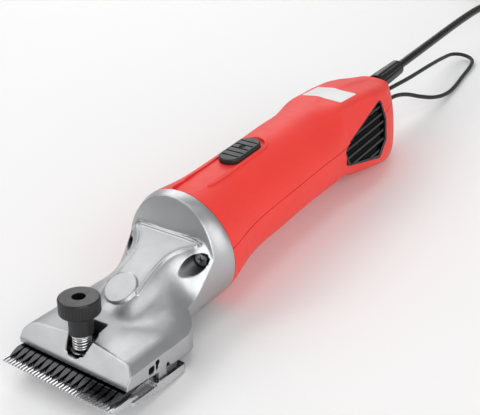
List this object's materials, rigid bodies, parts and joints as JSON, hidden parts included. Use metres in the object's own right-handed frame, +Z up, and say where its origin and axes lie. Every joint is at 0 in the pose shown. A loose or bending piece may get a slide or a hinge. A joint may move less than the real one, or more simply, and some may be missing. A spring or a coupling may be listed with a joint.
{
  "type": "electric sheep shears",
  "caption": "Mains-powered hand-held livestock clipper with a die-cast cutting head, comb and cutter, blade tension knob, slide switch, side vents, cord and hanging loop.",
  "frame": {"origin": "on the table, under the middle of the shears without the cord: halfway from the comb's tooth tips to the end of the strain relief, on the middle plane", "axes": "+Z is up from the table that the comb's heel and the tail's foot rest on. The body's axis lies along Y, with the blades at -Y and the cord at +Y. +X is the right-hand side for someone who looks along +Y, from the blades to the cord."},
  "size_m": [0.098, 0.7726, 0.0715],
  "materials": {
    "die_cast": "satin die-cast",
    "comb_steel": "ground",
    "cutter_steel": "ground, dark",
    "bright_steel": "bright",
    "plain_steel": "turned",
    "knob_plastic": "matte, fluted rim",
    "coral_plastic": "satin moulded",
    "slider_plastic": "moulded",
    "black_plastic": "gloss moulded",
    "label_white": "printed film, blank",
    "cord_rubber": "gloss",
    "loop_rubber": "matte",
    "copper": "enamelled",
    "laminations": "stamped",
    "gear_steel": "cut",
    "brass": "turned",
    "carbon": "pressed",
    "filter_foam": "open-cell foam",
    "nylon": "moulded",
    "dark_nylon": "moulded",
    "core_brown": "insulated wire"
  },
  "bodies": {
    "body": {"head_housing": "die_cast", "comb": "comb_steel", "comb_screws": "plain_steel", "tension_stud": "plain_steel", "lower_washer": "bright_steel", "tension_spring": "bright_steel", "pivot_post": "plain_steel", "crank_bushes": "brass", "gear_plate": "die_cast", "head_screws": "plain_steel", "stator_core": "laminations", "field_coils": "copper", "carbon_brushes": "carbon", "brush_holders": "brass", "brush_springs": "bright_steel", "motor_bearings": "plain_steel", "rear_bracket": "dark_nylon", "upper_housing": "coral_plastic", "lower_housing": "coral_plastic", "housing_screws": "plain_steel", "vent_grille_right": "black_plastic", "vent_grille_left": "black_plastic", "vent_filter_right": "filter_foam", "vent_filter_left": "filter_foam", "label_plate": "label_white", "switch_body": "dark_nylon", "suppressor": "nylon", "terminal_block": "nylon", "cord_clamp": "dark_nylon", "clamp_screws": "plain_steel", "strain_relief": "cord_rubber", "power_cord": "cord_rubber", "cord_coil": "cord_rubber", "cord_tail": "cord_rubber", "cord_tie": "black_plastic", "plug_body": "cord_rubber", "plug_pins": "bright_steel", "core_wires": "core_brown", "hang_loop": "loop_rubber", "loop_crimp": "dark_nylon", "loop_anchor": "plain_steel"},
    "rotor": {"motor_shaft": "plain_steel", "armature_core": "laminations", "armature_windings": "copper", "winding_collars": "dark_nylon", "commutator": "copper", "cooling_fan": "nylon", "motor_pinion": "gear_steel"},
    "crank": {"drive_gear": "gear_steel", "crank_shaft": "plain_steel", "crank_roller": "bright_steel"},
    "arm": {"drive_arm": "plain_steel", "arm_prongs": "bright_steel", "cutter": "cutter_steel"},
    "tension_seat": {"upper_washer": "bright_steel"},
    "knob": {"tension_knob": "knob_plastic"},
    "switch_slide": {"switch_slider": "slider_plastic", "switch_rod": "dark_nylon"}
  },
  "joints": [
    {"name": "rotor_spin", "type": "hinge", "parent": "body", "child": "rotor", "pos_m": [0, 0, 0.036], "axis": [0, 1, 0], "continuous": true},
    {"name": "crank_spin", "type": "hinge", "parent": "body", "child": "crank", "pos_m": [0, -0.1, 0.0188], "axis": [0, 1, 0], "continuous": true},
    {"name": "arm_swing", "type": "hinge", "parent": "body", "child": "arm", "pos_m": [0, -0.14065, 0.01498], "axis": [0, 0.1392, 0.9903], "range_deg": [-3.5, 3.5]},
    {"name": "seat_slide", "type": "slide", "parent": "body", "child": "tension_seat", "axis": [0, 0.1392, 0.9903], "range_m": [-0.0015, 0.003], "deforming": ["tension_spring"]},
    {"name": "knob_turn", "type": "hinge", "parent": "tension_seat", "child": "knob", "pos_m": [0, -0.16525, 0.03964], "axis": [0, 0.1392, 0.9903], "range_deg": [-540, 1080]},
    {"name": "switch_slide", "type": "slide", "parent": "body", "child": "switch_slide", "axis": [0, -1, 0], "range_m": [0, 0.008]}
  ],
  "couplings": [
    {"joint": "crank_spin", "follows": "rotor_spin", "ratio": -0.3871},
    {"joint": "seat_slide", "follows": "knob_turn", "m_per_rad": 0.00015915}
  ]
}
